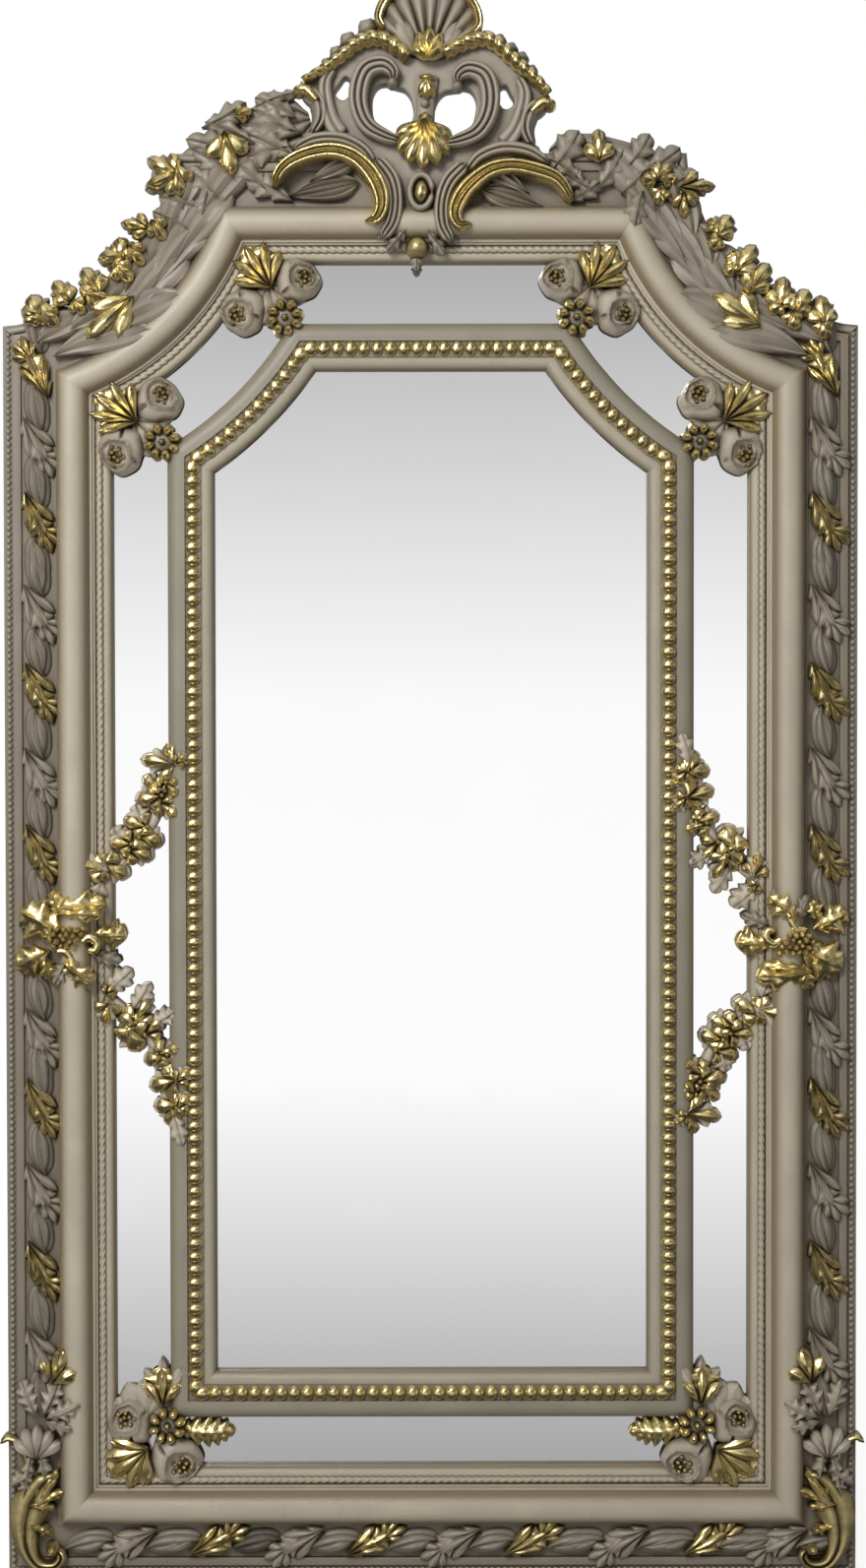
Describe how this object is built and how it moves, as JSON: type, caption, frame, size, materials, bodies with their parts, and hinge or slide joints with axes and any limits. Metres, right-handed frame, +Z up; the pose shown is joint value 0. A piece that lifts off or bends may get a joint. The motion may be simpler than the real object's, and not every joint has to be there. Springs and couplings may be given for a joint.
{
  "type": "wall mirror",
  "caption": "Tall baroque wall mirror with a bevel-cornered carved frame, a mirrored border round an inner beaded frame, gilt castings and a pierced crest, hung on folding rings.",
  "frame": {"origin": "middle of the top rail on the back plane, where the frame rests on the wall", "axes": "+X to the right seen from the front, +Y into the wall, +Z up; the mirror faces -Y"},
  "size_m": [1.0166, 0.088, 1.8707],
  "materials": {
    "painted_moulding": "antiqued cream paint",
    "painted_casting": "antiqued cream paint",
    "gilt_casting": "worn gold leaf, some leaves and roses in cream paint",
    "mirror_glass": "silvered glass",
    "plywood": "bare plywood",
    "bare_hardwood": "bare hardwood",
    "zinc_steel": "zinc plated"
  },
  "bodies": {
    "frame": {"backboard": "plywood", "backboard_screws": "zinc_steel", "bottom_leaf_band": "gilt_casting", "bottom_mirror_strip": "mirror_glass", "bottom_rail": "painted_moulding", "centre_mirror": "mirror_glass", "corner_keys": "bare_hardwood", "crest_cabochon": "gilt_casting", "crest_cartouche": "painted_casting", "crest_dowels": "bare_hardwood", "crest_drop": "gilt_casting", "crest_gadroons": "gilt_casting", "crest_left_scroll": "gilt_casting", "crest_right_scroll": "gilt_casting", "crest_shell": "painted_casting", "hanger_screws": "zinc_steel", "inner_bottom_rail": "painted_moulding", "inner_left_shoulder_rail": "painted_moulding", "inner_left_stile": "painted_moulding", "inner_rail_beads": "gilt_casting", "inner_right_shoulder_rail": "painted_moulding", "inner_right_stile": "painted_moulding", "inner_shoulder_beads": "gilt_casting", "inner_side_beads": "gilt_casting", "inner_top_rail": "painted_moulding", "left_bottom_floret": "gilt_casting", "left_foot_spray": "gilt_casting", "left_hanger_strap": "zinc_steel", "left_leaf_band": "gilt_casting", "left_lower_floret": "gilt_casting", "left_lower_garland": "gilt_casting", "left_mirror_strip": "mirror_glass", "left_shoulder_mirror": "mirror_glass", "left_shoulder_rail": "painted_moulding", "left_shoulder_spray": "gilt_casting", "left_side_cartouche": "gilt_casting", "left_stile": "painted_moulding", "left_upper_floret": "gilt_casting", "left_upper_garland": "gilt_casting", "pearl_edgings": "painted_moulding", "right_bottom_floret": "gilt_casting", "right_foot_spray": "gilt_casting", "right_hanger_strap": "zinc_steel", "right_leaf_band": "gilt_casting", "right_lower_floret": "gilt_casting", "right_lower_garland": "gilt_casting", "right_mirror_strip": "mirror_glass", "right_shoulder_mirror": "mirror_glass", "right_shoulder_rail": "painted_moulding", "right_shoulder_spray": "gilt_casting", "right_side_cartouche": "gilt_casting", "right_stile": "painted_moulding", "right_upper_floret": "gilt_casting", "right_upper_garland": "gilt_casting", "rope_mouldings": "painted_moulding", "top_mirror_strip": "mirror_glass", "top_rail": "painted_moulding"},
    "left_ring": {"left_hanger_ring": "zinc_steel"},
    "right_ring": {"right_hanger_ring": "zinc_steel"}
  },
  "joints": [
    {"name": "left_ring_hinge", "type": "hinge", "parent": "frame", "child": "left_ring", "pos_m": [-0.449, -0.005, -0.4], "axis": [1, 0, 0], "range_deg": [0, 180]},
    {"name": "right_ring_hinge", "type": "hinge", "parent": "frame", "child": "right_ring", "pos_m": [0.449, -0.005, -0.4], "axis": [1, 0, 0], "range_deg": [0, 180]}
  ]
}
